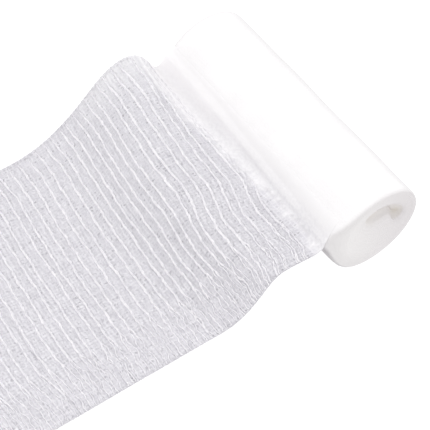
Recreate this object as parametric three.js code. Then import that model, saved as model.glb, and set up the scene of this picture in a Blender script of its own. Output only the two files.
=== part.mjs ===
// Gauze bandage roll: one strip of open gauze, wound up soft and without a core, lying on a surface.
// Its loose end comes down the roll's flank, turns out through a soft trough into a slack hump, and then
// lies flat to its cut end.
// Millimetres, +Z up. The origin is on the surface, under the middle of the roll. The roll's axis is
// along X, and the loose end runs out towards -Y.

import * as THREE from "three";

// The strip
const STRIP_WIDTH = 100;
const STRIP_THICKNESS = 1.2;
const TURN_GAP = 0.3;

// The roll
const ROLL_RADIUS = 18.5;
const FLAT_SPOT_DEPTH = 0.4;
const ROLL_AXIS_HEIGHT = ROLL_RADIUS - FLAT_SPOT_DEPTH;
const ROLL_ANGLE_STEPS = 64;
const SIDE_STEPS = 4;
const HOLLOW_STEPS = 2;

// One row for each slow ripple in the outer turn: how deep it is at most, how far it takes along the
// roll for one radian, how many times it goes round the roll, and the angle it starts at.
const OUTER_RIPPLES = [
  { depth: 0.18, along: 9, around: 2, start: 0 },
  { depth: 0.18, along: 5.3, around: -1, start: 1 },
];

// The hollow in the roll's middle, a flattened oval pressed in from below by the folded first turn
const HOLLOW_HALF_LENGTH = 7.8;
const HOLLOW_HALF_HEIGHT = 4.2;
const HOLLOW_OFFSET_Y = 5.2;
const HOLLOW_OFFSET_Z = 2.9;
const HOLLOW_TILT_DEG = -27;
const HOLLOW_PRESSED_IN = 2.2;
const HOLLOW_PRESS_SHARPNESS = 6;

// One row for each station round the rim, from the roll's side over its end and into the hollow: how
// far it lies in from the end, and its share of the way from the outer turn to the hollow.
const RIM_STATIONS = [
  { inset: 5, towardsHollow: 0 },
  { inset: 1.8, towardsHollow: 0.005 },
  { inset: 0.6, towardsHollow: 0.04 },
  { inset: 0.1, towardsHollow: 0.11 },
  { inset: 0, towardsHollow: 0.22 },
  { inset: 0.4, towardsHollow: 0.45 },
  { inset: 0.8, towardsHollow: 0.7 },
  { inset: 1.6, towardsHollow: 0.9 },
  { inset: 2.8, towardsHollow: 0.98 },
  { inset: 6, towardsHollow: 1 },
];

// At the near end the outer turns are drawn back on the flank that the loose end leaves from
const DRAWN_BACK = 5;
const DRAWN_BACK_ANGLE = THREE.MathUtils.degToRad(172);
const DRAWN_BACK_SPREAD = THREE.MathUtils.degToRad(28);
const DRAWN_BACK_DEPTH = 0.35;
const DRAWN_BACK_SHARPNESS = 4;

// The loose end
const LOOSE_REACH = 144;
const LOOSE_SKEW = THREE.MathUtils.degToRad(-7);
const LOOSE_SPREAD_PER_MM = 0.07;
const HUG_START_DEG = 45;
const SQUARING_RUN = 45;
const HUG_STEPS = 8;
const RISE_STEPS = 16;
const RAMP_STEPS = 16;
const FLAT_STEPS = 5;
const ACROSS_STEPS = 28;

// One row for each section across the loose end, from its far edge at -1 to its near edge at 1: where
// it lies along the roll, the angle above the roll's axis where it leaves the flank, how deep it dips
// into the trough, how full it rises to the crest, and the hump's crest and foot, with distances out
// from the roll's axis.
const FOLD_COLUMNS = [
  "across", "alongRoll", "leaveDeg", "dip", "fullness", "crestOut", "crestHeight", "footOut",
];
const FOLD_SECTIONS = [
  [-1.0, -50.0, 28, 13.5, 0.64, 37.8, 35.4, 92.3],
  [-0.5, -25.5, 25, 10.8, 0.57, 42.0, 30.6, 91.5],
  [0.0, -1.0, 19, 6.4, 0.5, 45.0, 25.6, 88.0],
  [0.5, 23.0, 12, 5.2, 0.5, 39.5, 21.2, 77.0],
  [1.0, 45.2, 5, 4.4, 0.5, 30.0, 17.8, 58.8],
];

// How full the ramp's curve is: the handles' shares of its run, below the crest and above the foot
const CREST_OUT_HANDLE = 0.28;
const FOOT_HANDLE = 0.62;

const rollMaterial = new THREE.MeshStandardMaterial({ color: "#f4f2f3", roughness: 0.95, metalness: 0 });
const looseMaterial = new THREE.MeshStandardMaterial({ color: "#dcdae0", roughness: 0.95, metalness: 0 });

function meshFrom(name, points, triangles, material) {
  const coordinates = points.flatMap((point) => point.toArray());
  const geometry = new THREE.BufferGeometry();
  geometry.setAttribute("position", new THREE.Float32BufferAttribute(coordinates, 3));
  geometry.setIndex(triangles);
  geometry.computeVertexNormals();
  const mesh = new THREE.Mesh(geometry, material);
  mesh.name = name;
  return mesh;
}

// Two triangles on the four corners a, b, c, d, seen anticlockwise from outside
function quad(a, b, c, d) {
  return [a, b, c, a, c, d];
}

// The outer turn's radius, a little slack here and there as soft winding is
function outerTurnRadius(along, angle) {
  let radius = ROLL_RADIUS;
  for (const ripple of OUTER_RIPPLES) {
    const wave = Math.sin(along / ripple.along + ripple.around * angle + ripple.start);
    radius -= (ripple.depth * (1 + wave)) / 2;
  }
  return radius;
}

// The hollow's outline, as an offset from the roll's axis
function hollowPoint(angle) {
  const tilt = THREE.MathUtils.degToRad(HOLLOW_TILT_DEG);
  const pressed = HOLLOW_PRESSED_IN * Math.max(0, -Math.sin(angle)) ** HOLLOW_PRESS_SHARPNESS;
  const point = new THREE.Vector2(
    HOLLOW_HALF_LENGTH * Math.cos(angle),
    HOLLOW_HALF_HEIGHT * Math.sin(angle) + pressed,
  );
  point.rotateAround(new THREE.Vector2(), tilt);
  return point.add(new THREE.Vector2(HOLLOW_OFFSET_Y, HOLLOW_OFFSET_Z));
}

// How far a point of the near end is drawn back, most at the rim and not at all past the outer turns
function drawnBack(along, towardsHollow, angle) {
  const nearEnd = Math.max(0, along / (STRIP_WIDTH / 2)) ** DRAWN_BACK_SHARPNESS;
  const outerTurns = 1 - THREE.MathUtils.smoothstep(towardsHollow, 0, DRAWN_BACK_DEPTH);
  const flank = Math.exp(-(((angle - DRAWN_BACK_ANGLE) / DRAWN_BACK_SPREAD) ** 2));
  return DRAWN_BACK * nearEnd * outerTurns * flank;
}

function rollPoint(along, towardsHollow, angle) {
  const radius = outerTurnRadius(along, angle);
  const outer = new THREE.Vector2(radius * Math.cos(angle), radius * Math.sin(angle));
  const section = outer.lerp(hollowPoint(angle), towardsHollow);
  const x = along - drawnBack(along, towardsHollow, angle);
  return new THREE.Vector3(x, section.x, Math.max(0, ROLL_AXIS_HEIGHT + section.y));
}

// Stations at even steps from the roll's middle to the given distance along it, that one left out
function evenStations(steps, along, towardsHollow) {
  return [...Array(steps).keys()].map((step) => ({ along: (along * step) / steps, towardsHollow }));
}

// The roll is a ring of stations, out along one half, through the hollow and back along the other
function woundRoll() {
  const half = STRIP_WIDTH / 2;
  const rim = RIM_STATIONS.map((row) => ({ along: half - row.inset, towardsHollow: row.towardsHollow }));
  const side = evenStations(SIDE_STEPS, rim[0].along, 0);
  const hollow = evenStations(HOLLOW_STEPS, rim.at(-1).along, 1).reverse();
  const nearHalf = [...side, ...rim, ...hollow];
  const farHalf = nearHalf.slice(1, -1).reverse().map((row) => ({ ...row, along: -row.along }));
  const stations = [...nearHalf, ...farHalf];
  const points = [];
  const triangles = [];
  for (let i = 0; i < ROLL_ANGLE_STEPS; i++) {
    const angle = (2 * Math.PI * i) / ROLL_ANGLE_STEPS;
    for (const station of stations) {
      points.push(rollPoint(station.along, station.towardsHollow, angle));
    }
  }
  const count = stations.length;
  for (let i = 0; i < ROLL_ANGLE_STEPS; i++) {
    const row = i * count;
    const nextRow = ((i + 1) % ROLL_ANGLE_STEPS) * count;
    for (let j = 0; j < count; j++) {
      const k = (j + 1) % count;
      triangles.push(...quad(row + j, nextRow + j, nextRow + k, row + k));
    }
  }
  return meshFrom("wound_roll", points, triangles, rollMaterial);
}

// The fold's values at a place across the loose end, run smoothly through the rows of the table
const foldCurve = new THREE.CubicInterpolant(
  FOLD_SECTIONS.map((row) => row[0]),
  FOLD_SECTIONS.flat(),
  FOLD_COLUMNS.length,
);

function foldAt(across) {
  const values = foldCurve.evaluate(across);
  return Object.fromEntries(FOLD_COLUMNS.map((column, i) => [column, values[i]]));
}

// The middle line of the strip at one place across it, from the roll's upper flank to the cut end
function loosePath(across) {
  const fold = foldAt(across);
  const leave = THREE.MathUtils.degToRad(fold.leaveDeg);
  const hugRadius = ROLL_RADIUS + TURN_GAP + STRIP_THICKNESS / 2;
  const path = [];
  for (let i = 0; i <= HUG_STEPS; i++) {
    const angle = THREE.MathUtils.lerp(THREE.MathUtils.degToRad(HUG_START_DEG), leave, i / HUG_STEPS);
    const y = -hugRadius * Math.cos(angle);
    const z = ROLL_AXIS_HEIGHT + hugRadius * Math.sin(angle);
    path.push(new THREE.Vector3(fold.alongRoll, y, z));
  }

  const left = path[HUG_STEPS];
  const skewed = new THREE.Vector2(left.x, left.y).rotateAround(new THREE.Vector2(), -LOOSE_SKEW);
  const leaveOut = -skewed.y;
  const start = new THREE.Vector2(leaveOut, left.z);
  const crest = new THREE.Vector2(fold.crestOut, fold.crestHeight);
  const foot = new THREE.Vector2(fold.footOut, STRIP_THICKNESS / 2);
  const end = new THREE.Vector2(LOOSE_REACH, STRIP_THICKNESS / 2);
  const dip = new THREE.Vector2(Math.sin(leave), -Math.cos(leave)).multiplyScalar(fold.dip);
  const dipped = start.clone().add(dip);
  const beforeCrest = new THREE.Vector2(crest.x - fold.fullness * (crest.x - start.x), crest.y);
  const run = foot.x - crest.x;
  const afterCrest = new THREE.Vector2(crest.x + CREST_OUT_HANDLE * run, crest.y);
  const beforeFoot = new THREE.Vector2(foot.x - FOOT_HANDLE * run, foot.y);
  const stretches = [
    { curve: new THREE.CubicBezierCurve(start, dipped, beforeCrest, crest), steps: RISE_STEPS },
    { curve: new THREE.CubicBezierCurve(crest, afterCrest, beforeFoot, foot), steps: RAMP_STEPS },
    { curve: new THREE.LineCurve(foot, end), steps: FLAT_STEPS },
  ];

  for (const { curve, steps } of stretches) {
    for (let i = 1; i <= steps; i++) {
      const { x: out, y: height } = curve.getPoint(i / steps);
      const squared = THREE.MathUtils.smoothstep(out, leaveOut, leaveOut + SQUARING_RUN);
      const spread = Math.max(0, across) * LOOSE_SPREAD_PER_MM * Math.max(0, out - fold.footOut);
      const side = THREE.MathUtils.lerp(skewed.x, (across * STRIP_WIDTH) / 2 + spread, squared);
      const flat = new THREE.Vector2(side, -out).rotateAround(new THREE.Vector2(), LOOSE_SKEW);
      path.push(new THREE.Vector3(flat.x, flat.y, height));
    }
  }
  return path;
}

// The loose end is a sheet, half its thickness to each side of the strip's middle surface
function looseEnd() {
  const paths = [];
  for (let j = 0; j <= ACROSS_STEPS; j++) {
    paths.push(loosePath(-1 + (2 * j) / ACROSS_STEPS));
  }
  const rows = paths[0].length;
  const columns = paths.length;
  const upper = [];
  const lower = [];
  for (let i = 0; i < rows; i++) {
    for (let j = 0; j < columns; j++) {
      const along = paths[j][Math.min(i + 1, rows - 1)].clone().sub(paths[j][Math.max(i - 1, 0)]);
      const across = paths[Math.min(j + 1, columns - 1)][i].clone().sub(paths[Math.max(j - 1, 0)][i]);
      const halfThickness = across.cross(along).setLength(STRIP_THICKNESS / 2);
      upper.push(paths[j][i].clone().sub(halfThickness));
      const underside = paths[j][i].clone().add(halfThickness);
      underside.z = Math.max(0, underside.z);
      lower.push(underside);
    }
  }

  const triangles = [];
  const under = rows * columns;
  const at = (i, j) => i * columns + j;
  for (let i = 0; i < rows - 1; i++) {
    for (let j = 0; j < columns - 1; j++) {
      const corners = [at(i, j), at(i + 1, j), at(i + 1, j + 1), at(i, j + 1)];
      const undersides = corners.map((corner) => under + corner).reverse();
      triangles.push(...quad(...corners), ...quad(...undersides));
    }
  }
  const alongRim = [...Array(rows - 1).keys()];
  const acrossRim = [...Array(columns - 1).keys()];
  const rim = [
    ...alongRim.map((i) => at(i, 0)),
    ...acrossRim.map((j) => at(rows - 1, j)),
    ...alongRim.map((i) => at(rows - 1 - i, columns - 1)),
    ...acrossRim.map((j) => at(0, columns - 1 - j)),
  ];
  rim.forEach((from, n) => {
    const to = rim[(n + 1) % rim.length];
    triangles.push(...quad(from, under + from, under + to, to));
  });
  return meshFrom("loose_end", [...upper, ...lower], triangles, looseMaterial);
}

const gauzeRoll = new THREE.Group();
gauzeRoll.add(woundRoll(), looseEnd());

export default gauzeRoll;
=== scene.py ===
"""A gauze bandage roll lying on a pale surface, its loose end slack over a hump and then flat.

One strip of gauze makes it all. A place on the strip is given in millimetres along it from its cut end,
and as a share across it, from -1 at the far edge to 1 at the near edge. Every yarn follows the strip's
middle surface, which runs from the cut end over the hump, through a soft trough and up the roll's flank.
A named pair of places, along or across, says where a change begins and where it is full. A list of waves
gives the wavelengths of an uneven line, in millimetres.
"""

import math

import bpy
import numpy as np
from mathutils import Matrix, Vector


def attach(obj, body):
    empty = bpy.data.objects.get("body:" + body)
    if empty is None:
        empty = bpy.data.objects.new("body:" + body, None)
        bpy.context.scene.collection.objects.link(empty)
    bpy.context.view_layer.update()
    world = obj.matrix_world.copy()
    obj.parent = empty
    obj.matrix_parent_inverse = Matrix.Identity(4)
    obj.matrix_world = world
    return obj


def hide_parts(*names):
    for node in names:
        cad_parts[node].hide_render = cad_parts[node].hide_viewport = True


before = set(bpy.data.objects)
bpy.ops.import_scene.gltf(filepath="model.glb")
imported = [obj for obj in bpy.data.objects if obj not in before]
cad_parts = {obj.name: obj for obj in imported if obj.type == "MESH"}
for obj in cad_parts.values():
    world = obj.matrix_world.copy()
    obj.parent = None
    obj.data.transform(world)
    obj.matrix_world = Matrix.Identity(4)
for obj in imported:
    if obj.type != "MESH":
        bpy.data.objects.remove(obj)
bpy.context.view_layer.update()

MM = 0.001
TINY = 1e-9
BODY = "root"
WAVE_STRETCH = (0.85, 1.15)
rng = np.random.default_rng(20)

# The strip and the roll, in millimetres
STRIP_WIDTH = 100.0
HALF_WIDTH = STRIP_WIDTH / 2
STRIP_THICKNESS = 1.2
TURN_GAP = 0.3
ROLL_RADIUS = 18.5
FLAT_SPOT_DEPTH = 0.4
ROLL_AXIS_HEIGHT = ROLL_RADIUS - FLAT_SPOT_DEPTH
HUG_RADIUS = ROLL_RADIUS + TURN_GAP + STRIP_THICKNESS / 2

# Slow ripples in the outer turn: depth, millimetres along for one radian, times round, start angle
OUTER_RIPPLES = [
    (0.18, 9.0, 2, 0.0),
    (0.18, 5.3, -1, 1.0),
]

# The heavy picks that show as ridges in the outer turn, and how each ridge strays round the roll: angle,
# millimetres along for one radian, start angle
OUTER_PICKS = 30
OUTER_PICK_HEIGHT = 0.06
OUTER_PICK_SHARPNESS = 6
OUTER_PICK_STRAYS = [
    (0.5, 17.0, 0.0),
    (0.35, 6.3, 1.0),
]

# The loose end's hump, a row for each section across it: place across, place along the roll, degrees
# above the roll's axis where it leaves the flank, how deep it dips into the trough, how full it rises to
# the crest, then the crest's distance out and height and the foot's distance out
FOLD_COLUMNS = range(8)
ACROSS, ALONG_ROLL, LEAVE, DIP, FULLNESS, CREST_OUT, CREST_HEIGHT, FOOT_OUT = FOLD_COLUMNS
FOLD_SECTIONS = np.array([
    (-1.0, -50.0, 28.0, 13.5, 0.64, 37.8, 35.4, 92.3),
    (-0.5, -25.5, 25.0, 10.8, 0.57, 42.0, 30.6, 91.5),
    (0.0, -1.0, 19.0, 6.4, 0.50, 45.0, 25.6, 88.0),
    (0.5, 23.0, 12.0, 5.2, 0.50, 39.5, 21.2, 77.0),
    (1.0, 45.2, 5.0, 4.4, 0.50, 30.0, 17.8, 58.8),
])
LOOSE_REACH = 144.0
LOOSE_SKEW = math.radians(-7)
LOOSE_SPREAD_PER_MM = 0.07
SQUARING_RUN = 45.0
CREST_OUT_HANDLE, FOOT_HANDLE = 0.28, 0.62
HUG_STEPS, RISE_STEPS, RAMP_STEPS, FLAT_STEPS = 24, 64, 90, 60

# How the loose end lies on the roll's flank: it is tucked in at its upper end and lifts off lower down
HUG_START = math.radians(45)
TUCKING_ARC = math.radians(5)
TUCKED_IN = 0.05
LAID_GAP = 0.08
LIFTING_ARC = math.radians(12)

# Soft creases in the loose end: place along, place across, reach along, reach across, height
SOFT_CREASES = [
    (96.0, 0.62, 4.0, 0.30, -0.45),
    (88.0, 0.80, 3.0, 0.22, 0.40),
    (70.0, -0.55, 7.0, 0.35, 0.35),
    (54.0, 0.70, 5.0, 0.28, 0.40),
    (62.0, 0.15, 6.0, 0.40, -0.30),
    (30.0, -0.20, 8.0, 0.45, 0.25),
    (112.0, -0.30, 5.0, 0.40, -0.35),
    (131.5, -0.70, 2.4, 0.10, 0.20),
    (134.0, -0.42, 2.6, 0.12, -0.18),
    (131.0, -0.12, 2.6, 0.10, 0.20),
    (134.5, 0.14, 2.4, 0.10, -0.18),
    (132.0, 0.36, 2.2, 0.09, 0.20),
    (133.5, 0.66, 2.2, 0.10, -0.15),
    (138.0, -0.55, 2.6, 0.16, 0.25),
    (139.0, 0.05, 2.4, 0.14, 0.22),
    (137.0, 0.52, 2.2, 0.12, 0.25),
]

# The roll's rings from its side over the rim and in across the end: distance in from the end, and share
# of the way from the outer turn to the hollow's mouth
RIM = [(5.0, 0.0), (3.0, 0.0), (1.9, 0.001), (1.1, 0.008), (0.6, 0.02), (0.25, 0.04), (0.06, 0.065)]
END = [(0.0, 0.09), (0.1, 0.25), (0.4, 0.45), (0.8, 0.7), (1.4, 0.9), (1.9, 0.98)]
ROLL_AROUND, SIDE_RINGS, END_RINGS = 288, 61, 100
TURNS, SPARE_TURNS = 13, 3
TURN_GROOVE = 0.13
TURN_SHIFT = 0.05

# The near rim, drawn back where the loose end leaves the roll
DRAWN_BACK = 5.0
DRAWN_BACK_POWER = 4
DRAWN_BACK_ANGLE = math.radians(172)
DRAWN_BACK_SPREAD = math.radians(28)
DRAWN_BACK_DEPTH = 0.35

# The hollow in the roll's middle, then down it from the end: depth, and how much of its outline stays open
HOLLOW_HALF_LENGTH, HOLLOW_HALF_HEIGHT = 9.4, 4.7
HOLLOW_OFFSET_Y, HOLLOW_OFFSET_Z = 5.2, 2.9
HOLLOW_TILT = math.radians(-35)
HOLLOW_FOLD_DEPTH = 4.4
HOLLOW_FOLD_SHARPNESS = 9
HOLLOW_FOLD_SHIFT = math.radians(12)
HOLLOW_NARROWING = 0.75
HOLLOW_DEPTHS = [
    (2.2, 0.97), (2.45, 0.9), (2.7, 0.8), (2.95, 0.68), (3.2, 0.54), (3.4, 0.38), (3.6, 0.2), (3.7, 0.06),
    (3.8, 0.006), (34.0, 0.006),
]

# The heavy picks: pitches by turns, strands, and the places of the first and the last
HEAVY_PITCHES = (3.65, 4.25)
HEAVY_JITTER = 0.3
HEAVY_STRANDS = 3
HEAVY_RADIUS = 0.28
HEAVY_SIDES, HEAVY_STEPS = 4, 185
HEAVY_ENDS = (-0.992, 0.996)
FIRST_PICK, LAST_PICK = 2.0, 134.5
LINE_WAVES, LINE_STRAY = (46, 21, 9), 0.4
CRINKLE_WAVES, CRINKLE, INNER_CRINKLE = (9, 4.2, 2.4), 0.26, 0.6
BEAD_WAVES, BEADS = (3.4, 2.1), 0.42
SLUB_WAVES, SLUBS = (14,), 0.18
STRAND_SIZES = (0.88, 1.1)
STRAND_OFFSET, STRAND_RISE = 0.2, 0.6
STRAND_TWIST = 6.0
PICK_LIFT = 0.2
SINK, SINKING_RUN = 0.7, (-0.5, 1.5)
FAR_THINNED, FAR_THINNED_ACROSS = 0.3, (-1, -0.84)

# The near margin, where the strands of a heavy pick part, until they gather again towards the trough
MARGIN_ACROSS = (0.6, 0.76)
MARGIN_WAVE, MARGIN_WAVE_LENGTH, MARGIN_WAVE_SHIFT = 0.16, 7.5, 31
MARGIN_THINNED = 0.68
PARTED = (0.8, 1.1)
GATHERED, GATHERED_ALONG = 0.5, (98, 118)

# How far a pick strays from straight: distance, places across and places along
FLAT_MARGIN_RISE, FLAT_MARGIN_ACROSS, FLAT_MARGIN_ALONG = 3.0, (0.5, 0.95), (20, 60)
FAR_EDGE_DROP, FAR_EDGE_ACROSS = 2.6, (-0.66, -1.08)
SHOULDER_DROP, SHOULDER_ACROSS, SHOULDER_ALONG = 4.5, (0.08, 0.5), (72, 118)
HUMP_EDGE_DROP, HUMP_EDGE_ACROSS, HUMP_EDGE_ALONG = 2.0, (0.85, 1), (95, 120)

# The fine picks, three between each two heavy ones
FINE_RADIUS = 0.07
FINE_SIDES, FINE_STEPS = 3, 130
FINE_ENDS = (-0.99, 0.995)
FINE_SHARES, FINE_JITTER = (0.27, 0.5, 0.74), 0.08
FINE_WAVES, FINE_STRAY = (31, 12, 5), 0.55
FINE_BEAD_WAVES, FINE_BEADS = (3.1, 7.0), 0.3
FINE_LIFT_WAVES, FINE_LIFT = (2.1,), 0.08

# The warps, closer at both selvages
WARP_PITCH = 1.25
WARP_STEPS = 230
WARP_RUN_ON = 1.0
SELVAGE_WIDTH, SELVAGE_EDGE = 1.6, 1.0
SELVAGE_PLACES = np.array([0.0, 0.45, 0.9])
WARP_WAVES, WARP_STRAY, SELVAGE_STRAY = (60, 25, 4.0), 0.4, 0.08
WARP_BEAD_WAVES, WARP_BEADS = (3.1, 8.0), 0.25
WARP_LIFT_WAVES, WARP_LIFT = (2.0,), 0.1
WARP_ENDING, WARP_END_SIZE, WARP_END_SINK = 2, 0.3, 0.4

# The veil, the thin sheet of lint and fine yarns that carries the picks and warps
VEIL_COLUMNS, VEIL_ROWS = 141, 401
VEIL_TRIM = 0.2
DRAWN_OPEN, DRAWN_OPEN_BESIDE = 0.7, (0.8, 0.6)
HUMP_DRAWN_OPEN, HUMP_DRAWN_OPEN_ALONG = 0.5, (85, 122)
MARGIN_DRAWN_OPEN = 0.4
PALE_SHARE, PALE_ACROSS, PALE_ALONG = 0.6, (-0.7, -0.96), (78, 108)

# Where the strip turns white and closed towards the roll: place across, place along
WHITENED = np.array([
    (-1.0, 119.5), (-0.5, 125.0), (-0.25, 129.0), (0.1, 129.5), (0.4, 131.0), (0.8, 130.5), (1.0, 129.0),
])
WHITENED_WAVES, WHITENED_STRAY = (17, 7.3, 3.7), 1.6
WHITENED_RUN = (-1.5, 3.0)
SETTLING_RUN, SETTLED_PLACE = 2.0, 143.5
# Painted light: the veil settled on the roll is brightened past the roll's own colour
SETTLED_LIGHT_GAIN = 1.085

# Soft shade in the strip's folds: its full depth, then the trough with its lighter lip, the roll's flank
# and the near shoulder
SHADE_DEPTH = 0.08
TROUGH_PLACE, TROUGH_REACH = 134.2, 2.2
LIP_PLACE, LIP_SHARE = 130.6, 0.6
FLANK_SHADE, FLANK_ALONG = 0.28, (139.5, 142.5)
NEAR_SHADE, NEAR_SHADE_ACROSS, NEAR_SHADE_RISE, NEAR_SHADE_FALL = 0.5, (-0.5, 0.6), (76, 90), (118, 111)

# How deep the trough's shade is: place across, share
TROUGH_SHADES = np.array([
    (-0.85, 1.35), (-0.55, 1.1), (-0.25, 1.1), (0.15, 0.5), (0.55, -0.2), (0.85, 0.0),
])

# Where the roll shows cut edges, and where shade is painted on it over the rim, in the hollow, underneath
# and
# across its end: shares of the way in, heights, or distances back from its axis, negative towards the loose
# end
RIM_SHADE, RIM_SOFTNESS, CUT_EDGE_SHARES = 0.5, 2.0, (0.0, 0.12)
# Painted shade in the hollow, from its mouth in, lighter in the middle and deepest at its tips
MOUTH_SHARES, CLOSING_SHARES = (0.9, 1.0), (1.0, 1.7)
HOLLOW_SHADE_MIDDLE, HOLLOW_TIP_SHARPNESS = 0.3, 2.5
UNDER_HEIGHTS, UNDER_BACK, UNDER_SHARES = (19.0, 15.0), (-5.0, -10.0), (0.0, 0.09)
END_SHADE, END_SHADE_BACK = 0.2, (4.0, -9.0)
END_SHADE_SHARES, END_SHADE_RIM = (0.45, 0.08), (0.0, 0.06)

# Maps and values kept on the meshes
BAKE_MAP, STRIP_MAP = "OFBake", "strip"
STRIP_MAP_SCALE = 100.0
BESIDE_PICK, DOUBLED, SETTLED = "beside_pick", "doubled", "settled"
PALE_EDGE, FOLD_SHADE = "pale_edge", "fold_shade"
CUT_EDGE_AND_RIM_SHADE, HOLLOW_SHADE, SHADED = "cut_edge_and_rim_shade", "hollow_shade", "shaded"

# The fine mesh and the lint: sizes in millimetres, the rest in shares of the mesh's pitches
GROUND_MESH = {"Warp Pitch": 1.15, "Pick Pitch": 1.5, "Wobble": 2.2}
WOUND_MESH = {"Warp Pitch": 1.05, "Pick Pitch": 0.98, "Wobble": 1.2, "Opening": -0.1}
GROUND_LINT = {"Slow Size": 2.8, "Fine Size": 1.2}
WOUND_LINT = {"Slow Size": 14.0, "Fine Size": 2.0}
HEAVY_LINT = {"Slow Size": 4.0, "Fine Size": 1.3}
FINE_LINT = {"Slow Size": 6.0, "Fine Size": 1.5}
SHAKEN_SCALE = 0.42
MESH_YARN = (0.02, 0.26)
HOLE_CHANCE, HOLE_MIDDLE = (0.75, 1.0), (0.1, 0.4)
OPENING = (-0.08, 0.1)
LINT_RANGE, YARN_LINT_RANGE = (0.3, 0.7), (0.3, 0.65)
WEAVE_LIGHT, LINT_LIGHT = (0.2, 0.6), (0.05, 0.4)
COVER = (0.86, 0.7)
WOUND_HOLE_SHARE = 0.12
RELIEF_STRENGTH, RELIEF_HEIGHT = 0.25, 0.15

# Colours of the cotton, and of the shade and light painted on it
ROUGHNESS, SPECULAR = 0.95, 0.2
GROUND_DULL, GROUND_LIGHT = (0.59, 0.575, 0.62, 1), (0.815, 0.803, 0.838, 1)
# Painted shade seen through the veil's holes
HOLE_SHADE_GREY = (0.38, 0.365, 0.41, 1)
PALE_WHITE = (0.84, 0.835, 0.85, 1)
CLOSED_DULL, CLOSED_LIGHT = (0.80, 0.788, 0.81, 1), (0.89, 0.88, 0.895, 1)
HEAVY_DULL, HEAVY_LIGHT = (0.86, 0.843, 0.885, 1), (0.99, 0.975, 1.0, 1)
FINE_DULL, FINE_LIGHT = (0.66, 0.645, 0.685, 1), (0.78, 0.77, 0.80, 1)
WOUND_DULL, WOUND_LIGHT = (0.86, 0.846, 0.853, 1), (0.895, 0.881, 0.888, 1)
# Painted shade on the roll: pinkish grey low down both flanks, fading out between the heights given, and
# greyer on its back past the places given
WOUND_LOW_SHADE, WOUND_LOW_SHADE_HEIGHTS = (0.825, 0.808, 0.818, 1), (19.0, 32.0)
WOUND_BACK_SHADE, WOUND_BACK_SHADE_PLACES = (0.755, 0.745, 0.75, 1), (9.0, 17.0)
WOUND_HOLE = (0.6, 0.58, 0.6, 1)
SETTLED_MOTTLE = 0.7
# The cut edges' grey at the front, and with painted shade darker towards the back
EDGES_FRONT, EDGES_BACK_SHADE, EDGES_SHADE_PLACES = (0.77, 0.752, 0.752, 1), (0.71, 0.686, 0.694, 1), (-12.0, 12.0)
SHADED_GREY = (0.5, 0.483, 0.493, 1)
# Painted shade in the hollow
HOLLOW_SHADE_GREY = (0.645, 0.607, 0.56, 1)
VEIL_THROUGH, HEAVY_THROUGH, FINE_THROUGH = 0.1, 0.1, 0.3

# The pale floor, the soft boxes of light and the camera, with places in metres. A soft box has a name, a
# place, a size and a power
WHITE = (1, 1, 1, 1)
FLOOR_SIZE = 6.0
FLOOR_DROP = 0.1 * MM
FLOOR_GREY = (0.25, 0.25, 0.25, 1)
FLOOR_GLOW = 0.88
ROOM_LIGHT = 1.04
SOFT_BOXES = [
    ("top_soft_box", Vector((-0.1, 0.3, 1.25)), 1.0, 2.6),
    ("front_soft_box", Vector((-0.45, -0.95, 0.95)), 1.0, 0.8),
]
LIGHT_TARGET = Vector((0, -0.04, 0.01))
CAMERA_AZIMUTH = math.radians(53.07)
CAMERA_ELEVATION = math.radians(55.95)
CAMERA_DISTANCE = 0.714
CAMERA_TARGET = Vector((0.0032, -0.0345, 0.0029))
CAMERA_LENS = 167.44
CAMERA_SENSOR = 36.0


def smoothstep(low, high, value):
    share = np.clip((value - low) / (high - low), 0, 1)
    return share * share * (3 - 2 * share)


def mix(a, b, share):
    return a + (b - a) * share


def bell(value, middle, reach):
    return np.exp(-(((value - middle) / reach) ** 2))


def unit(vectors):
    return vectors / np.maximum(np.linalg.norm(vectors, axis=-1, keepdims=True), TINY)


def turned(x, y, angle):
    return x * math.cos(angle) - y * math.sin(angle), x * math.sin(angle) + y * math.cos(angle)


def wander(value, waves, height):
    """A smooth uneven line: sines of about these wavelengths, with starts drawn anew on each call."""
    total = np.zeros_like(value, dtype=float)
    for wavelength in waves:
        start = rng.uniform(0, 2 * math.pi)
        stretch = rng.uniform(*WAVE_STRETCH)
        total += np.sin(2 * math.pi * value / (wavelength * stretch) + start)
    return total * height / len(waves)


def bezier(a, b, c, d, steps):
    t = np.linspace(0, 1, steps + 1)[1:]
    return (1 - t) ** 3 * a + 3 * (1 - t) ** 2 * t * b + 3 * (1 - t) * t**2 * c + t**3 * d


def fold_column(column, across):
    """A column of the fold table at a place across, run smoothly through its rows."""
    rows = FOLD_SECTIONS[:, ACROSS]
    values = FOLD_SECTIONS[:, column]
    slopes = np.gradient(values, rows)
    row = int(np.clip(np.searchsorted(rows, across) - 1, 0, len(rows) - 2))
    step = rows[row + 1] - rows[row]
    t = (across - rows[row]) / step
    return (
        (2 * t**3 - 3 * t**2 + 1) * values[row]
        + (t**3 - 2 * t**2 + t) * step * slopes[row]
        + (3 * t**2 - 2 * t**3) * values[row + 1]
        + (t**3 - t**2) * step * slopes[row + 1]
    )


def outer_turn_radius(along, angle):
    radius = ROLL_RADIUS
    for depth, length, around, start in OUTER_RIPPLES:
        radius = radius - depth * (1 + np.sin(along / length + around * angle + start)) / 2
    return radius


def flank_path(fold):
    """The strip's middle line down the roll's flank, from its tucked upper end to where it leaves."""
    leave = math.radians(fold[LEAVE])
    hug = np.linspace(HUG_START, leave, HUG_STEPS + 1)
    along_roll = np.full_like(hug, fold[ALONG_ROLL])
    laid = outer_turn_radius(along_roll, math.pi - hug)
    laid = laid + mix(LAID_GAP, -TUCKED_IN, smoothstep(HUG_START - TUCKING_ARC, HUG_START, hug))
    radius = mix(laid, HUG_RADIUS, smoothstep(leave + LIFTING_ARC, leave, hug))
    back = -radius * np.cos(hug)
    height = ROLL_AXIS_HEIGHT + radius * np.sin(hug)
    return np.stack([along_roll, back, height], axis=-1)


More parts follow.
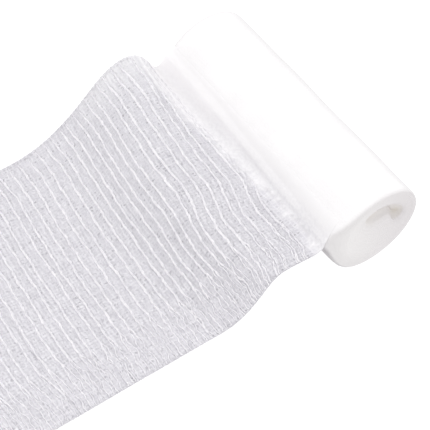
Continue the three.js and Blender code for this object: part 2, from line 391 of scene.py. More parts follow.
def loose_path(across):
    """The strip's middle line at one place across it, from the roll's upper flank to the cut end."""
    fold = [fold_column(column, across) for column in FOLD_COLUMNS]
    flank = flank_path(fold)
    left = flank[-1]
    leave = math.radians(fold[LEAVE])
    leave_side, leave_back = turned(left[0], left[1], -LOOSE_SKEW)
    leave_out = -leave_back
    crest_out, crest_height, foot_out = fold[CREST_OUT], fold[CREST_HEIGHT], fold[FOOT_OUT]
    floor_height = STRIP_THICKNESS / 2
    dip_out, dip_down = fold[DIP] * math.sin(leave), fold[DIP] * math.cos(leave)
    before_crest = crest_out - fold[FULLNESS] * (crest_out - leave_out)
    after_crest = crest_out + CREST_OUT_HANDLE * (foot_out - crest_out)
    before_foot = foot_out - FOOT_HANDLE * (foot_out - crest_out)
    out = np.concatenate([
        bezier(leave_out, leave_out + dip_out, before_crest, crest_out, RISE_STEPS),
        bezier(crest_out, after_crest, before_foot, foot_out, RAMP_STEPS),
        np.linspace(foot_out, LOOSE_REACH, FLAT_STEPS + 1)[1:],
    ])
    height = np.concatenate([
        bezier(left[2], left[2] - dip_down, crest_height, crest_height, RISE_STEPS),
        bezier(crest_height, crest_height, floor_height, floor_height, RAMP_STEPS),
        np.full(FLAT_STEPS, floor_height),
    ])
    squared = smoothstep(leave_out, leave_out + SQUARING_RUN, out)
    spread = max(0.0, across) * LOOSE_SPREAD_PER_MM * np.maximum(0, out - foot_out)
    side = mix(leave_side, across * HALF_WIDTH + spread, squared)
    x, y = turned(side, -out, LOOSE_SKEW)
    return np.concatenate([flank, np.stack([x, y, height], axis=-1)])


class Strip:
    """The middle surface of the strip, sampled evenly along it and across it."""

    SECTIONS = 161
    STEP = 0.5
    SHORT_OF_LAST = 1.001

    def __init__(self):
        self.across = np.linspace(-1, 1, self.SECTIONS)
        loose = np.stack([loose_path(a)[::-1] for a in self.across])
        steps = np.linalg.norm(np.diff(loose, axis=1), axis=-1)
        lengths = np.concatenate([np.zeros((self.SECTIONS, 1)), np.cumsum(steps, axis=1)], axis=1)
        self.loose_length = float(lengths[:, -1].mean())
        lengths *= self.loose_length / lengths[:, -1:]
        along = np.arange(0, self.loose_length, self.STEP)
        rows = []
        for points, length in zip(loose, lengths):
            rows.append(np.stack([np.interp(along, length, axis) for axis in points.T], axis=-1))
        self.points = np.stack(rows)
        self.normals = self.find_normals()
        self.points = self.points + self.normals * self.creases(along)[:, :, None]
        self.normals = self.find_normals()

    def find_normals(self):
        return unit(np.cross(np.gradient(self.points, axis=0), np.gradient(self.points, axis=1)))

    def creases(self, along):
        height = np.zeros((self.SECTIONS, len(along)))
        for place, across, reach, reach_across, rise in SOFT_CREASES:
            away_along = ((along[None, :] - place) / reach) ** 2
            away_across = ((self.across[:, None] - across) / reach_across) ** 2
            height += rise * np.exp(-(away_along + away_across))
        return height

    def at(self, along, across):
        """Points and upper side normals at places on the strip, blended from the four samples round."""
        along, across = np.broadcast_arrays(along, across)
        i = np.clip((across + 1) / 2 * (self.SECTIONS - 1), 0, self.SECTIONS - self.SHORT_OF_LAST)
        j = np.clip(along / self.STEP, 0, self.points.shape[1] - self.SHORT_OF_LAST)
        i0, j0 = i.astype(int), j.astype(int)
        u, w = (i - i0)[..., None], (j - j0)[..., None]
        found = []
        for grid in (self.points, self.normals):
            low = mix(grid[i0, j0], grid[i0, j0 + 1], w)
            high = mix(grid[i0 + 1, j0], grid[i0 + 1, j0 + 1], w)
            found.append(mix(low, high, u))
        return found[0], unit(found[1])


strip = Strip()
VEIL_END = math.floor(strip.loose_length * 10) / 10 - VEIL_TRIM


def add_piece(name, points, faces, material, uv_maps):
    """A smooth mesh object from points in millimetres, arrays of faces, and UV maps with a place for each
    point."""
    mesh = bpy.data.meshes.new(name)
    corners = np.concatenate([f.ravel() for f in faces]).astype(np.int32)
    totals = np.concatenate([np.full(len(f), f.shape[1]) for f in faces]).astype(np.int32)
    starts = np.concatenate([[0], np.cumsum(totals)[:-1]]).astype(np.int32)
    mesh.vertices.add(len(points))
    mesh.vertices.foreach_set("co", (points * MM).astype(np.float32).ravel())
    mesh.loops.add(len(corners))
    mesh.loops.foreach_set("vertex_index", corners)
    mesh.polygons.add(len(totals))
    mesh.polygons.foreach_set("loop_start", starts)
    mesh.polygons.foreach_set("loop_total", totals)
    mesh.polygons.foreach_set("use_smooth", np.ones(len(totals), bool))
    mesh.update(calc_edges=True)
    for map_name, places in uv_maps.items():
        layer = mesh.uv_layers.new(name=map_name)
        layer.data.foreach_set("uv", places[corners].astype(np.float32).ravel())
    mesh.validate()
    mesh.materials.append(material)
    piece = bpy.data.objects.new(name, mesh)
    bpy.context.scene.collection.objects.link(piece)
    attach(piece, BODY)
    return piece


def add_values(piece, name, values):
    attribute = piece.data.attributes.new(name, "FLOAT", "POINT")
    attribute.data.foreach_set("value", values.astype(np.float32).ravel())


def grid_faces(rows, columns, closed_rows=False, closed_columns=False):
    """Quads over a grid of points kept row by row."""
    i = np.arange(rows if closed_rows else rows - 1)
    j = np.arange(columns if closed_columns else columns - 1)
    i, j = [a.ravel() for a in np.meshgrid(i, j, indexing="ij")]
    i1, j1 = (i + 1) % rows, (j + 1) % columns
    corners = [i * columns + j, i1 * columns + j, i1 * columns + j1, i * columns + j1]
    return np.stack(corners, axis=-1)


class Yarns:
    """Yarns of one kind, each a line of as many steps, made into one mesh of closed tubes."""

    def __init__(self, sides):
        self.sides = sides
        self.paths, self.normals, self.radii = [], [], []

    def lay(self, along, across, lift, radius):
        """A yarn through places on the strip, lifted from its middle surface."""
        point, normal = strip.at(along, across)
        self.paths.append(point + normal * lift[:, None])
        self.normals.append(normal)
        self.radii.append(radius)

    def piece(self, name, material):
        paths, normals, radii = np.stack(self.paths), np.stack(self.normals), np.stack(self.radii)
        yarns, steps = radii.shape
        forward = unit(np.gradient(paths, axis=1))
        sideways = unit(np.cross(forward, normals))
        upward = np.cross(sideways, forward)
        angles = 2 * math.pi * np.arange(self.sides) / self.sides
        ring = (
            np.cos(angles)[:, None] * sideways[:, :, None, :]
            + np.sin(angles)[:, None] * upward[:, :, None, :]
        )
        points = (paths[:, :, None, :] + ring * radii[:, :, None, None]).reshape(-1, 3)
        first = (np.arange(yarns) * steps * self.sides)[:, None]
        walls = first[:, :, None] + grid_faces(steps, self.sides, closed_columns=True)[None]
        cap = np.arange(self.sides)[None]
        faces = [walls.reshape(-1, 4), first + cap, first + (steps - 1) * self.sides + cap[:, ::-1]]
        u = np.broadcast_to(np.linspace(0, 1, steps)[None, :, None], (yarns, steps, self.sides))
        v = (np.arange(yarns)[:, None, None] + (cap[None] + 0.5) / (self.sides + 1)) / yarns
        v = np.broadcast_to(v, u.shape)
        maps = {BAKE_MAP: np.stack([u, v], axis=-1).reshape(-1, 2)}
        return add_piece(name, points, faces, material, maps)


class Nodes:
    """A node tree and short ways to add to it. Inputs take a value or another node's output."""

    def __init__(self, tree):
        self.tree = tree

    def add(self, kind, inputs=(), **settings):
        made = self.tree.nodes.new(kind)
        for name, value in settings.items():
            setattr(made, name, value)
        for name, value in dict(inputs).items():
            self.feed(made.inputs[name], value)
        return made

    def feed(self, socket, value):
        if isinstance(value, bpy.types.NodeSocket):
            self.tree.links.new(value, socket)
        else:
            socket.default_value = value

    def math(self, operation, a, b):
        return self.add("ShaderNodeMath", {0: a, 1: b}, operation=operation).outputs[0]

    def vector(self, operation, a, b=(0, 0, 0)):
        return self.add("ShaderNodeVectorMath", {0: a, 1: b}, operation=operation).outputs[0]

    def scaled(self, vector, factor):
        inputs = {"Vector": vector, "Scale": factor}
        return self.add("ShaderNodeVectorMath", inputs, operation="SCALE").outputs[0]

    def axes(self, vector):
        return self.add("ShaderNodeSeparateXYZ", {0: vector}).outputs

    def eased(self, value, low, high, out_low=0.0, out_high=1.0):
        inputs = {"Value": value, "From Min": low, "From Max": high, "To Min": out_low, "To Max": out_high}
        return self.add("ShaderNodeMapRange", inputs, interpolation_type="SMOOTHSTEP").outputs[0]

    def colour_mix(self, factor, a, b):
        made = self.add("ShaderNodeMix", data_type="RGBA")
        self.feed(made.inputs["Factor"], factor)
        self.feed([s for s in made.inputs if s.name == "A" and s.type == "RGBA"][0], a)
        self.feed([s for s in made.inputs if s.name == "B" and s.type == "RGBA"][0], b)
        return [s for s in made.outputs if s.type == "RGBA"][0]

    def noise(self, place, scale, detail):
        return self.add("ShaderNodeTexNoise", {"Vector": place, "Scale": scale, "Detail": detail})

    def kept(self, name):
        """A value kept on the mesh."""
        return self.add("ShaderNodeAttribute", attribute_name=name).outputs["Fac"]

    def group(self, tree, inputs):
        return self.add("ShaderNodeGroup", inputs, node_tree=tree).outputs


FLOAT, VECTOR, COLOUR = "NodeSocketFloat", "NodeSocketVector", "NodeSocketColor"


def new_group(name, inputs, outputs):
    """A shader node group with these sockets; gives it back with its Nodes and its two ends."""
    tree = bpy.data.node_groups.new(name, "ShaderNodeTree")
    for in_out, sockets in (("INPUT", inputs), ("OUTPUT", outputs)):
        for socket, kind in sockets.items():
            tree.interface.new_socket(socket, in_out=in_out, socket_type=kind)
    nodes = Nodes(tree)
    return tree, nodes, nodes.add("NodeGroupInput").outputs, nodes.add("NodeGroupOutput").inputs


def open_mesh_group():
    """The fine mesh between the heavy picks: where its yarns lie, and where a gap opens to a hole, which
    the veil paints dark as shade seen through it.
    """
    tree, nodes, given, out = new_group(
        "open_mesh",
        {"Place": VECTOR, "Warp Pitch": FLOAT, "Pick Pitch": FLOAT, "Wobble": FLOAT, "Opening": FLOAT},
        {"Yarn": FLOAT, "Hole": FLOAT},
    )
    shaken = nodes.noise(given["Place"], SHAKEN_SCALE, 2.0).outputs["Color"]
    shaken = nodes.scaled(nodes.vector("SUBTRACT", shaken, (0.5, 0.5, 0.5)), given["Wobble"])
    pitches = {"X": given["Warp Pitch"], "Y": given["Pick Pitch"], "Z": 1.0}
    pitch = nodes.add("ShaderNodeCombineXYZ", pitches).outputs[0]
    cell = nodes.vector("DIVIDE", nodes.vector("ADD", given["Place"], shaken), pitch)
    split = nodes.axes(cell)
    from_warp = nodes.math("PINGPONG", split["X"], 0.5)
    from_pick = nodes.math("PINGPONG", split["Y"], 0.5)
    warp = nodes.eased(from_warp, *MESH_YARN, 1.0, 0.0)
    pick = nodes.eased(from_pick, *MESH_YARN, 1.0, 0.0)
    nodes.feed(out["Yarn"], nodes.math("MAXIMUM", warp, pick))
    whole_cell = nodes.vector("FLOOR", cell)
    chance = nodes.add("ShaderNodeTexWhiteNoise", {"Vector": whole_cell}).outputs["Value"]
    opened = nodes.eased(nodes.math("ADD", chance, given["Opening"]), *HOLE_CHANCE)
    middle = nodes.eased(nodes.math("MINIMUM", from_warp, from_pick), *HOLE_MIDDLE)
    nodes.feed(out["Hole"], nodes.math("MULTIPLY", opened, middle))
    return tree


def lint_group():
    """Uneven lint: a soft slow mottle and a fine one, both about a middle of a half."""
    tree, nodes, given, out = new_group(
        "lint",
        {"Place": VECTOR, "Slow Size": FLOAT, "Fine Size": FLOAT},
        {"Slow": FLOAT, "Fine": FLOAT},
    )
    for kind, detail in (("Slow", 3.0), ("Fine", 2.0)):
        scale = nodes.math("DIVIDE", 1.0, given[f"{kind} Size"])
        nodes.feed(out[kind], nodes.noise(given["Place"], scale, detail).outputs["Fac"])
    return tree


def wound_tone_and_shade_group():
    """The colour of many turns deep of gauze, near white above, with painted shade: pinkish grey down both
    flanks and greyer towards the back.
    """
    tree, nodes, given, out = new_group(
        "wound_tone_and_shade", {"Place": VECTOR, "Mottle": FLOAT}, {"Colour": COLOUR}
    )
    top = nodes.colour_mix(nodes.eased(given["Mottle"], *LINT_RANGE), WOUND_DULL, WOUND_LIGHT)
    axes = nodes.axes(given["Place"])
    # Painted shade: darker low down the flanks and on the back
    low = nodes.eased(axes["Z"], *WOUND_LOW_SHADE_HEIGHTS, 1.0, 0.0)
    colour = nodes.colour_mix(low, top, WOUND_LOW_SHADE)
    back = nodes.eased(axes["Y"], *WOUND_BACK_SHADE_PLACES)
    nodes.feed(out["Colour"], nodes.colour_mix(back, colour, WOUND_BACK_SHADE))
    return tree


open_mesh = open_mesh_group()
lint = lint_group()
wound_tone_and_shade = wound_tone_and_shade_group()


def new_material(name):
    material = bpy.data.materials.new(name)
    material.use_nodes = True
    shader = material.node_tree.nodes["Principled BSDF"]
    shader.inputs["Roughness"].default_value = ROUGHNESS
    shader.inputs["Specular IOR Level"].default_value = SPECULAR
    return material, Nodes(material.node_tree), shader


def let_light_through(nodes, shader, colour, share):
    """Mixes diffuse light from behind the cloth into its shader."""
    through = nodes.add("ShaderNodeBsdfTranslucent", {"Color": colour})
    both = nodes.add("ShaderNodeMixShader", {0: share, 1: shader.outputs[0], 2: through.outputs[0]})
    output = nodes.tree.nodes["Material Output"]
    nodes.feed(output.inputs["Surface"], both.outputs[0])


def strip_place(nodes):
    """Millimetres across and along the strip, from its own map."""
    place = nodes.add("ShaderNodeUVMap", uv_map=STRIP_MAP).outputs[0]
    return nodes.scaled(place, STRIP_MAP_SCALE)


def object_place(nodes):
    """Millimetres in the part's own frame."""
    return nodes.scaled(nodes.add("ShaderNodeTexCoord").outputs["Object"], 1 / MM)


def ground_material():
    """The veil of fine yarns and lint: lilac grey with holes painted dark as shade seen through them,
    whiter and closed towards the roll, with painted light where it settles on the roll and painted shade in
    its folds.
    """
    material, nodes, shader = new_material("lilac_grey_ground")
    place = strip_place(nodes)
    doubled = nodes.kept(DOUBLED)
    opening = nodes.eased(nodes.kept(BESIDE_PICK), 0.0, 1.0, *OPENING)
    mesh = nodes.group(open_mesh, {"Place": place, "Opening": opening, **GROUND_MESH})
    spots = nodes.group(lint, {"Place": place, **GROUND_LINT})
    hole = nodes.math("MULTIPLY", mesh["Hole"], nodes.math("SUBTRACT", 1.0, doubled))
    weave = nodes.math("MULTIPLY", mesh["Yarn"], nodes.eased(spots["Fine"], *LINT_RANGE, *WEAVE_LIGHT))
    light = nodes.math("ADD", weave, nodes.eased(spots["Slow"], *LINT_RANGE, *LINT_LIGHT))
    colour = nodes.colour_mix(light, GROUND_DULL, GROUND_LIGHT)
    # Painted shade in the holes
    colour = nodes.colour_mix(hole, colour, HOLE_SHADE_GREY)
    colour = nodes.colour_mix(nodes.kept(PALE_EDGE), colour, PALE_WHITE)
    closed = nodes.colour_mix(nodes.eased(spots["Fine"], *LINT_RANGE), CLOSED_DULL, CLOSED_LIGHT)
    colour = nodes.colour_mix(doubled, colour, closed)
    wound = nodes.group(wound_tone_and_shade, {"Place": object_place(nodes), "Mottle": SETTLED_MOTTLE})["Colour"]
    # Painted light: the settled veil takes the roll's colour, brightened
    colour = nodes.colour_mix(nodes.kept(SETTLED), colour, nodes.scaled(wound, SETTLED_LIGHT_GAIN))
    shade = nodes.math("MULTIPLY", nodes.kept(FOLD_SHADE), SHADE_DEPTH)
    colour = nodes.scaled(colour, nodes.math("SUBTRACT", 1.0, shade))
    nodes.feed(shader.inputs["Base Color"], colour)
    cover = nodes.math("MAXIMUM", nodes.eased(hole, 0.0, 1.0, *COVER), doubled)
    nodes.feed(shader.inputs["Alpha"], cover)
    let_light_through(nodes, shader, colour, VEIL_THROUGH)
    return material


def yarn_material(name, dull, light, lint_sizes, through):
    """Matt cotton yarn, its colour running between a dull and a light one along it."""
    material, nodes, shader = new_material(name)
    spots = nodes.group(lint, {"Place": object_place(nodes), **lint_sizes})
    share = nodes.math("MULTIPLY", nodes.math("ADD", spots["Slow"], spots["Fine"]), 0.5)
    colour = nodes.colour_mix(nodes.eased(share, *YARN_LINT_RANGE), dull, light)
    nodes.feed(shader.inputs["Base Color"], colour)
    let_light_through(nodes, shader, colour, through)
    return material


def wound_material():
    """Many turns of gauze: near white, the mesh of the outer turn only a faint relief."""
    material, nodes, shader = new_material("wound_gauze")
    place = object_place(nodes)
    mesh = nodes.group(open_mesh, {"Place": strip_place(nodes), **WOUND_MESH})
    spots = nodes.group(lint, {"Place": place, **WOUND_LINT})
    colour = nodes.group(wound_tone_and_shade, {"Place": place, "Mottle": spots["Slow"]})["Colour"]
    colour = nodes.colour_mix(nodes.math("MULTIPLY", mesh["Hole"], WOUND_HOLE_SHARE), colour, WOUND_HOLE)
    # Painted shade: the cut edges darker towards the back
    edges = nodes.colour_mix(nodes.eased(nodes.axes(place)["Y"], *EDGES_SHADE_PLACES), EDGES_FRONT, EDGES_BACK_SHADE)
    # The cut edges' grey, carried over the rim as painted shade
    colour = nodes.colour_mix(nodes.kept(CUT_EDGE_AND_RIM_SHADE), colour, edges)
    colour = nodes.colour_mix(nodes.kept(SHADED), colour, SHADED_GREY)
    # Painted shade in the hollow
    colour = nodes.colour_mix(nodes.kept(HOLLOW_SHADE), colour, HOLLOW_SHADE_GREY)
    nodes.feed(shader.inputs["Base Color"], colour)
    height = nodes.math("ADD", mesh["Yarn"], spots["Fine"])
    relief = {"Height": height, "Strength": RELIEF_STRENGTH, "Distance": RELIEF_HEIGHT * MM}
    bump = nodes.add("ShaderNodeBump", relief)
    nodes.feed(shader.inputs["Normal"], bump.outputs[0])
    return material


veil_material = ground_material()
heavy_material = yarn_material("white_heavy_yarn", HEAVY_DULL, HEAVY_LIGHT, HEAVY_LINT, HEAVY_THROUGH)
fine_material = yarn_material("fine_yarn", FINE_DULL, FINE_LIGHT, FINE_LINT, FINE_THROUGH)
roll_material = wound_material()


def pick_ridges(along, angle):
    """The heavy picks of the outer turn, showing as faint soft ridges along the roll."""
    turn = OUTER_PICKS * angle
    for stray, length, start in OUTER_PICK_STRAYS:
        turn = turn + stray * math.sin(along / length + start)
    return OUTER_PICK_HEIGHT * np.cos(turn / 2) ** OUTER_PICK_SHARPNESS


def hollow_outline(angle, opened):
    """The hollow's outline, an oval with the strip's folded inner end pressed into it from below. As it
    closes it draws in towards its own middle line."""
    turn = np.abs(np.mod(angle + math.pi, 2 * math.pi) - math.pi)
    fold = HOLLOW_FOLD_DEPTH * np.maximum(0, np.sin(turn + HOLLOW_FOLD_SHIFT)) ** HOLLOW_FOLD_SHARPNESS
    edge = HOLLOW_HALF_HEIGHT * np.sin(angle) + np.where(np.sin(angle) < 0, fold, 0)
    length = HOLLOW_HALF_LENGTH * np.cos(angle) * mix(HOLLOW_NARROWING, 1.0, opened)
    y, z = turned(length, mix(fold / 2, edge, opened), HOLLOW_TILT)
    return y + HOLLOW_OFFSET_Y, z + HOLLOW_OFFSET_Z


def roll_rings():
    """The rings of the roll, along its outside, in at the near end, through the hollow and out at the far
    end: place along, share of the way in, and whether it lies on an end. The share is 1 at the hollow's
    mouth and runs on towards 2 as the hollow closes."""
    reach = HALF_WIDTH - RIM[0][0]
    side = np.linspace(-reach, reach, SIDE_RINGS)[1:-1]
    insets, shares = zip(*END)
    end_shares = np.linspace(shares[0], shares[-1], END_RINGS)
    end_insets = np.interp(end_shares, shares, insets)
    near = [(HALF_WIDTH - inset, share, False) for inset, share in RIM]
    near += [(HALF_WIDTH - inset, share, True) for inset, share in zip(end_insets, end_shares)]
    near += [(HALF_WIDTH - depth, 2.0 - opened, False) for depth, opened in HOLLOW_DEPTHS]
    middle = (0.0, near[-1][1], False)
    far = [(-along, share, on_end) for along, share, on_end in near[::-1]]
    return [(along, 0.0, False) for along in side] + near + [middle] + far


def ring_points(ring, angle, shifts):
    """The points of one ring of the roll, with the turns' grooves where it lies on an end."""
    along, share, on_end = ring
    turn_angle = np.mod(angle, 2 * math.pi)
    radius = outer_turn_radius(along, turn_angle) + pick_ridges(along, turn_angle)
    hollow_y, hollow_z = hollow_outline(angle, 2.0 - max(1.0, share))
    y = mix(radius * np.cos(angle), hollow_y, min(1.0, share))
    z = mix(radius * np.sin(angle), hollow_z, min(1.0, share))
    flank = bell(turn_angle, DRAWN_BACK_ANGLE, DRAWN_BACK_SPREAD)
    outer_share = 1 - smoothstep(0, DRAWN_BACK_DEPTH, share)
    towards_end = max(0, along / HALF_WIDTH) ** DRAWN_BACK_POWER
    x = along - DRAWN_BACK * towards_end * flank * outer_share
    if on_end:
        turn = share * TURNS + turn_angle / (2 * math.pi)
        layer = np.floor(turn).astype(int)
        ridge = np.sin(math.pi * turn) ** 2
        inward = TURN_GROOVE * (1 - ridge) + shifts[layer] * ridge
        x = x - math.copysign(1, along) * inward
    return np.stack([x, y, np.maximum(0, ROLL_AXIS_HEIGHT + z)], axis=-1)


def roll_tones(turns, rings, points, angle):
    """Keeps on the roll where it shows cut edges, with painted shade over the rim, and where shade is
    painted in the hollow, underneath and across the end.
    """
    insets = np.array([HALF_WIDTH - abs(along) for along, _, _ in rings])[:, None]
    shares = np.array([share for _, share, _ in rings])[:, None]
    back, height = points[..., 1], points[..., 2]
    # Painted shade: the cut edges' grey carried over the rim onto the roll's side
    rim = RIM_SHADE * smoothstep(RIM_SOFTNESS, 0.0, insets)
    edges = mix(rim, 1.0, smoothstep(*CUT_EDGE_SHARES, shares))
    add_values(turns, CUT_EDGE_AND_RIM_SHADE, np.broadcast_to(edges, height.shape))
    # Painted shade in the hollow, deepest towards its tips
    hollow_shade = (smoothstep(*MOUTH_SHARES, shares) + smoothstep(*CLOSING_SHARES, shares)) / 2
    towards_tips = mix(HOLLOW_SHADE_MIDDLE, 1.0, np.abs(np.cos(angle)) ** HOLLOW_TIP_SHARPNESS)
    add_values(turns, HOLLOW_SHADE, hollow_shade * towards_tips)
    under = smoothstep(*UNDER_HEIGHTS, height) * smoothstep(*UNDER_BACK, back)
    under = under * (1 - smoothstep(*UNDER_SHARES, shares))
    on_end = smoothstep(*END_SHADE_SHARES, shares) * smoothstep(*END_SHADE_RIM, shares)
    end_shade = END_SHADE * smoothstep(*END_SHADE_BACK, back) * on_end
    add_values(turns, SHADED, np.maximum(under, end_shade))


def make_roll():
    rings = roll_rings()
    angle = np.linspace(0, 2 * math.pi, ROLL_AROUND, endpoint=False) - math.pi / 2
    shifts = np.abs(rng.normal(0, TURN_SHIFT, TURNS + SPARE_TURNS))
    points = np.stack([ring_points(ring, angle, shifts) for ring in rings])
    unrolled = [along + math.copysign(min(1.0, share) * ROLL_RADIUS, along) for along, share, _ in rings]
    place = np.stack(np.meshgrid(angle * ROLL_RADIUS, unrolled)[::-1], axis=-1) / STRIP_MAP_SCALE
    share = np.stack(np.meshgrid(np.linspace(0, 1, ROLL_AROUND), np.linspace(0, 1, len(rings))), axis=-1)
    maps = {STRIP_MAP: place.reshape(-1, 2), BAKE_MAP: share.reshape(-1, 2)}
    faces = [grid_faces(len(rings), ROLL_AROUND, closed_rows=True, closed_columns=True)]
    turns = add_piece("wound_turns", points.reshape(-1, 3), faces, roll_material, maps)
    roll_tones(turns, rings, points, angle)
    return turns


def pick_places(first, last):
    places, place, turn = [], first, 0
    while place < last:
        places.append(place + rng.uniform(-HEAVY_JITTER, HEAVY_JITTER))
        place += HEAVY_PITCHES[turn % 2]
        turn += 1
    return np.array(places)


def whitened_place(across):
    return np.interp(across, WHITENED[:, 0], WHITENED[:, 1])


def bow(along, across):
    """How far a pick strays from a straight line towards the roll, near the edges and down the shoulder."""
    flat_margin = smoothstep(*FLAT_MARGIN_ACROSS, across) * (1 - smoothstep(*FLAT_MARGIN_ALONG, along))
    shoulder = smoothstep(*SHOULDER_ACROSS, across) * smoothstep(*SHOULDER_ALONG, along)
    hump_edge = smoothstep(*HUMP_EDGE_ACROSS, across) * smoothstep(*HUMP_EDGE_ALONG, along)
    return (
        FLAT_MARGIN_RISE * flat_margin
        - FAR_EDGE_DROP * smoothstep(*FAR_EDGE_ACROSS, across)
        - SHOULDER_DROP * shoulder
        - HUMP_EDGE_DROP * hump_edge
    )


def make_heavy_picks(places):
    """Picks of three strands that lie together, thin out at the far edge and part in the near margin."""
    across = np.linspace(*HEAVY_ENDS, HEAVY_STEPS)
    width = across * HALF_WIDTH
    near = smoothstep(*MARGIN_ACROSS, across)
    far_thinned = mix(FAR_THINNED, 1.0, smoothstep(*FAR_THINNED_ACROSS, across))
    yarns = Yarns(HEAVY_SIDES)
    lines = []
    for place in places:
        line = place + bow(place, across) + wander(width, LINE_WAVES, LINE_STRAY)
        lines.append(line)
        sunk = smoothstep(*SINKING_RUN, line - whitened_place(across))
        margin = near * mix(1.0, GATHERED, smoothstep(*GATHERED_ALONG, line))
        wave_turn = width / MARGIN_WAVE_LENGTH + place / MARGIN_WAVE_SHIFT
        wave = MARGIN_WAVE * np.sin(2 * math.pi * wave_turn) * margin
        for strand in range(HEAVY_STRANDS):
            side = (-1, 1, rng.choice((-1, 1)))[strand]
            parted = side * rng.uniform(*PARTED) * margin
            crinkle = wander(width, CRINKLE_WAVES, CRINKLE) * mix(INNER_CRINKLE, 1.0, margin)
            twist = 2 * math.pi * (width / STRAND_TWIST + strand / HEAVY_STRANDS)
            along = line + wave + parted + crinkle + STRAND_OFFSET * np.cos(twist)
            size = rng.uniform(*STRAND_SIZES)
            size = size + BEADS * wander(width, BEAD_WAVES, 1.0)
            size = size + SLUBS * wander(width, SLUB_WAVES, 1.0)
            thinned = far_thinned * mix(1.0, MARGIN_THINNED, margin)
            lift = PICK_LIFT + STRAND_RISE * STRAND_OFFSET * np.sin(twist) - SINK * sunk
            yarns.lay(along, across, lift, HEAVY_RADIUS * size * thinned)
    return yarns.piece("heavy_picks", heavy_material), across, np.stack(lines)


def make_fine_picks(places):
    across = np.linspace(*FINE_ENDS, FINE_STEPS)
    width = across * HALF_WIDTH
    yarns = Yarns(FINE_SIDES)
    for place, following in zip(places[:-1], places[1:]):
        for share in FINE_SHARES:
            middle = mix(place, following, share + rng.uniform(-FINE_JITTER, FINE_JITTER))
            along = middle + bow(middle, across) + wander(width, FINE_WAVES, FINE_STRAY)
            radius = FINE_RADIUS * (1 + FINE_BEADS * wander(width, FINE_BEAD_WAVES, 1.0))
            lift = wander(width, FINE_LIFT_WAVES, FINE_LIFT)
            yarns.lay(along, across, lift, radius)
    return yarns.piece("fine_picks", fine_material)


def make_warps():
    """Yarns along the strip from its cut end to where it settles on the roll."""
    along = np.linspace(0, LAST_PICK + WARP_RUN_ON, WARP_STEPS)
    inner = np.arange(SELVAGE_WIDTH, STRIP_WIDTH - SELVAGE_WIDTH, WARP_PITCH)
    starts = np.concatenate([SELVAGE_PLACES, inner, STRIP_WIDTH - SELVAGE_PLACES]) - HALF_WIDTH
    yarns = Yarns(FINE_SIDES)
    for start in starts:
        at_selvage = abs(start) > HALF_WIDTH - SELVAGE_EDGE
        width = start + wander(along, WARP_WAVES, SELVAGE_STRAY if at_selvage else WARP_STRAY)
        closes = whitened_place(start / HALF_WIDTH)
        ending = smoothstep(closes - WARP_ENDING, closes + WARP_ENDING, along)
        size = 1 + WARP_BEADS * wander(along, WARP_BEAD_WAVES, 1.0)
        lift = wander(along, WARP_LIFT_WAVES, WARP_LIFT) - WARP_END_SINK * ending
        radius = FINE_RADIUS * size * mix(1, WARP_END_SIZE, ending)
        yarns.lay(along, width / HALF_WIDTH, lift, radius)
    return yarns.piece("warps", fine_material)


def opened_beside_picks(along, across, pick_across, pick_lines):
    """How far the mesh is drawn open at each place of the veil, most of all close beside a heavy pick."""
    nearest = np.full((len(along), len(across)), HEAVY_PITCHES[1])
    for line in pick_lines:
        gap = np.abs(along[:, None] - np.interp(across, pick_across, line)[None, :])
        nearest = np.minimum(nearest, gap)
    drawn_open = (
        DRAWN_OPEN
        + HUMP_DRAWN_OPEN * smoothstep(*HUMP_DRAWN_OPEN_ALONG, along)[:, None]
        + MARGIN_DRAWN_OPEN * smoothstep(*MARGIN_ACROSS, across)[None, :]
    )
    return drawn_open * bell(nearest, *DRAWN_OPEN_BESIDE)


def fold_shade(along, across):
    """Shade in the strip's folds: down the trough, up the roll's flank and over the near shoulder."""
    depth = np.interp(across, TROUGH_SHADES[:, 0], TROUGH_SHADES[:, 1])
    bottom, lip = bell(along, TROUGH_PLACE, TROUGH_REACH), bell(along, LIP_PLACE, TROUGH_REACH)
    flank = FLANK_SHADE * smoothstep(*FLANK_ALONG, along)
    shoulder = smoothstep(*NEAR_SHADE_RISE, along) * smoothstep(*NEAR_SHADE_FALL, along)
    shoulder = NEAR_SHADE * shoulder * smoothstep(*NEAR_SHADE_ACROSS, across)
    return (bottom - LIP_SHARE * lip) * depth + flank + shoulder


def make_veil(pick_across, pick_lines):
    across = np.linspace(-1, 1, VEIL_COLUMNS)
    along = np.linspace(0, VEIL_END, VEIL_ROWS)
    points, _ = strip.at(along[:, None], across[None, :])
    width, length = np.meshgrid(across * HALF_WIDTH, along)
    share = np.stack([(width + HALF_WIDTH) / STRIP_WIDTH, length / VEIL_END], axis=-1)
    place = np.stack([width, length], axis=-1) / STRIP_MAP_SCALE
    maps = {STRIP_MAP: place.reshape(-1, 2), BAKE_MAP: share.reshape(-1, 2)}
    faces = [grid_faces(VEIL_ROWS, VEIL_COLUMNS)]
    veil = add_piece("gauze_veil", points.reshape(-1, 3), faces, veil_material, maps)
    whitened = whitened_place(across) + wander(across * HALF_WIDTH, WHITENED_WAVES, WHITENED_STRAY)
    whitening, white = [whitened + run for run in WHITENED_RUN]
    add_values(veil, BESIDE_PICK, opened_beside_picks(along, across, pick_across, pick_lines))
    add_values(veil, DOUBLED, smoothstep(whitening, white, length))
    add_values(veil, SETTLED, smoothstep(whitened + SETTLING_RUN, SETTLED_PLACE, length))
    pale = PALE_SHARE * smoothstep(*PALE_ACROSS, across) * smoothstep(*PALE_ALONG, length)
    add_values(veil, PALE_EDGE, pale)
    add_values(veil, FOLD_SHADE, fold_shade(length, across))
    return veil


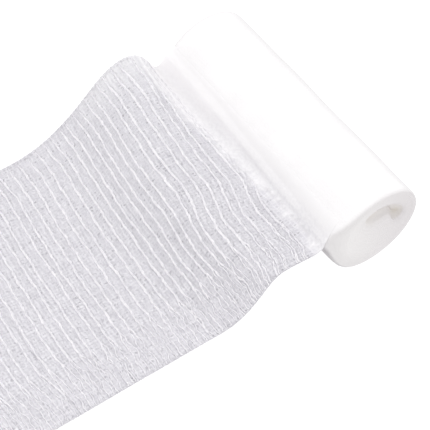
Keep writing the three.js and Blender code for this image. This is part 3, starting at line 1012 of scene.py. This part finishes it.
roll = make_roll()
loose_places = pick_places(FIRST_PICK, LAST_PICK)
heavy_picks, pick_across, pick_lines = make_heavy_picks(loose_places)
fine_picks = make_fine_picks(loose_places)
warps = make_warps()
veil = make_veil(pick_across, pick_lines)

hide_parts("wound_roll")
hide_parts("loose_end")


def make_floor():
    bpy.ops.mesh.primitive_plane_add(size=FLOOR_SIZE, location=(0, 0, -FLOOR_DROP))
    floor = bpy.context.object
    floor.name = "pale_floor"
    material, _, shader = new_material("pale_floor")
    shader.inputs["Base Color"].default_value = FLOOR_GREY
    shader.inputs["Specular IOR Level"].default_value = 0.0
    shader.inputs["Emission Color"].default_value = WHITE
    shader.inputs["Emission Strength"].default_value = FLOOR_GLOW
    floor.data.materials.append(material)


def make_lights():
    world = bpy.data.worlds.new("soft_white_room")
    bpy.context.scene.world = world
    world.use_nodes = True
    background = world.node_tree.nodes["Background"]
    background.inputs["Color"].default_value = WHITE
    background.inputs["Strength"].default_value = ROOM_LIGHT
    for name, place, size, power in SOFT_BOXES:
        light = bpy.data.lights.new(name, "AREA")
        light.shape = "DISK"
        light.size = size
        light.energy = power
        lamp = bpy.data.objects.new(name, light)
        lamp.location = place
        lamp.rotation_mode = "QUATERNION"
        lamp.rotation_quaternion = (LIGHT_TARGET - place).to_track_quat("-Z", "Y")
        bpy.context.scene.collection.objects.link(lamp)


def make_camera():
    data = bpy.data.cameras.new("photo_view")
    data.sensor_width = CAMERA_SENSOR
    data.lens = CAMERA_LENS
    camera = bpy.data.objects.new("photo_view", data)
    back = Vector((
        math.sin(CAMERA_AZIMUTH) * math.cos(CAMERA_ELEVATION),
        -math.cos(CAMERA_AZIMUTH) * math.cos(CAMERA_ELEVATION),
        math.sin(CAMERA_ELEVATION),
    ))
    camera.location = CAMERA_TARGET + back * CAMERA_DISTANCE
    camera.rotation_mode = "QUATERNION"
    camera.rotation_quaternion = (-back).to_track_quat("-Z", "Y")
    bpy.context.scene.collection.objects.link(camera)
    bpy.context.scene.camera = camera


make_floor()
make_lights()
make_camera()
bpy.context.scene.view_settings.view_transform = "Standard"
